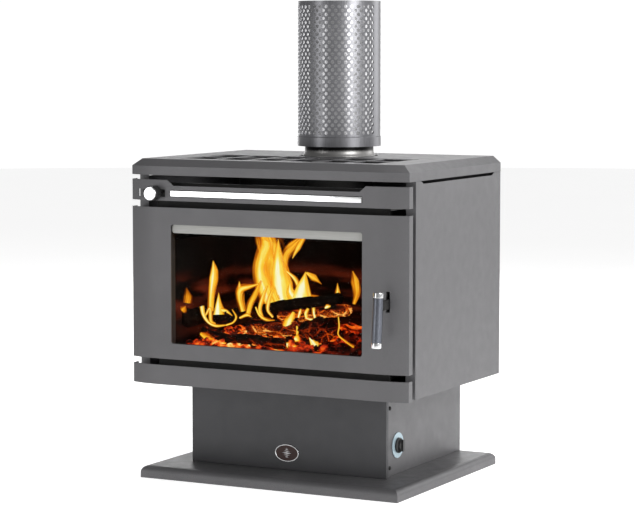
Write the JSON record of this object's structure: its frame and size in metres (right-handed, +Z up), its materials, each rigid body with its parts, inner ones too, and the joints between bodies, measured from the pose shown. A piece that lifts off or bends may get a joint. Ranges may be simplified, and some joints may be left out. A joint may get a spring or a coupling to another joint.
{
  "type": "wood burning stove",
  "caption": "Free-standing wood stove on a pedestal, with a glazed hinged door, sliding air control, fan in the pedestal and a perforated guard round the flue.",
  "frame": {"origin": "floor level under the centre of the stove's bounding box, on its centre line", "axes": "+X to the right of someone facing the door, +Y from the door towards the flue and the back, +Z up"},
  "size_m": [0.726, 0.6282, 1.133],
  "materials": {
    "charcoal_paint": "satin metallic heat-proof paint",
    "dark_paint": "satin heat-proof paint",
    "black_steel": "matt black heat-proof coating",
    "cast_iron": "rough cast",
    "chrome_trim": "polished",
    "flue_steel": "satin stainless steel",
    "bright_steel": "brushed",
    "zinc_steel": "zinc plated sheet",
    "firebrick": "porous refractory",
    "vermiculite": "pressed vermiculite board",
    "window_glass": "clear ceramic glass",
    "seal_rope": "woven glass-fibre rope",
    "black_plastic": "moulded",
    "dial_face": "satin",
    "badge_metal": "polished rim, dark field"
  },
  "bodies": {
    "stove": {"base_plate": "charcoal_paint", "pedestal_front_panel": "dark_paint", "pedestal_side_left": "charcoal_paint", "pedestal_side_right": "charcoal_paint", "pedestal_back_panel": "charcoal_paint", "pedestal_screw_left_lower": "black_steel", "pedestal_screw_left_upper": "black_steel", "pedestal_screw_right_lower": "black_steel", "pedestal_screw_right_upper": "black_steel", "badge": "badge_metal", "cabinet_floor": "black_steel", "cabinet_side_left": "charcoal_paint", "cabinet_side_right": "charcoal_paint", "rear_panel": "charcoal_paint", "hood": "charcoal_paint", "top_grille": "charcoal_paint", "lower_fascia": "charcoal_paint", "control_fascia": "charcoal_paint", "control_trim_bar": "chrome_trim", "firebox_shell": "black_steel", "firebox_front_frame": "black_steel", "baffle_plate": "vermiculite", "firebrick_floor": "firebrick", "firebrick_left": "firebrick", "firebrick_right": "firebrick", "firebrick_back": "firebrick", "flue_spigot": "cast_iron", "flue_collar": "bright_steel", "flue_pipe": "bright_steel", "flue_guard": "flue_steel", "flue_guard_spacer": "zinc_steel", "hinge_bracket_lower": "black_steel", "hinge_bracket_upper": "black_steel", "door_keeper": "black_steel", "blower_housing": "zinc_steel", "blower_motor": "black_steel", "speed_controller": "black_plastic", "fan_dial_plate": "dial_face", "cable_gland": "black_plastic"},
    "door": {"door_panel": "charcoal_paint", "door_inner_frame": "charcoal_paint", "door_glass": "window_glass", "glass_top_strip": "bright_steel", "door_rope_seal": "seal_rope", "hinge_knuckle_lower": "black_steel", "hinge_knuckle_upper": "black_steel", "glass_retainer_left": "black_steel", "glass_retainer_right": "black_steel", "latch_bracket": "black_steel", "latch_pivot_pin": "zinc_steel"},
    "latch": {"latch_arm": "black_steel", "handle_grip": "bright_steel", "handle_ferrule_top": "chrome_trim", "handle_ferrule_bottom": "chrome_trim"},
    "air_control": {"air_knob_body": "black_plastic", "air_knob_cap": "chrome_trim", "air_slide_plate": "black_steel"},
    "fan_dial_knob": {"fan_knob": "black_plastic"},
    "blower_rotor": {"blower_wheel": "zinc_steel"}
  },
  "joints": [
    {"name": "door_hinge", "type": "hinge", "parent": "stove", "child": "door", "pos_m": [-0.345, -0.22621, 0.469], "axis": [0, 0, -1], "range_deg": [0, 105]},
    {"name": "latch_lift", "type": "hinge", "parent": "door", "child": "latch", "pos_m": [0.315, -0.22621, 0.4492], "axis": [-1, 0, 0], "range_deg": [0, 30]},
    {"name": "air_slide", "type": "slide", "parent": "stove", "child": "air_control", "axis": [1, 0, 0], "range_m": [-0.044, 0.02]},
    {"name": "fan_knob_turn", "type": "hinge", "parent": "stove", "child": "fan_dial_knob", "pos_m": [0.25, -0.05741, 0.0967], "axis": [1, 0, 0], "range_deg": [0, 270]},
    {"name": "blower_spin", "type": "hinge", "parent": "stove", "child": "blower_rotor", "pos_m": [0, 0.08104, 0.13], "axis": [1, 0, 0], "continuous": true}
  ]
}
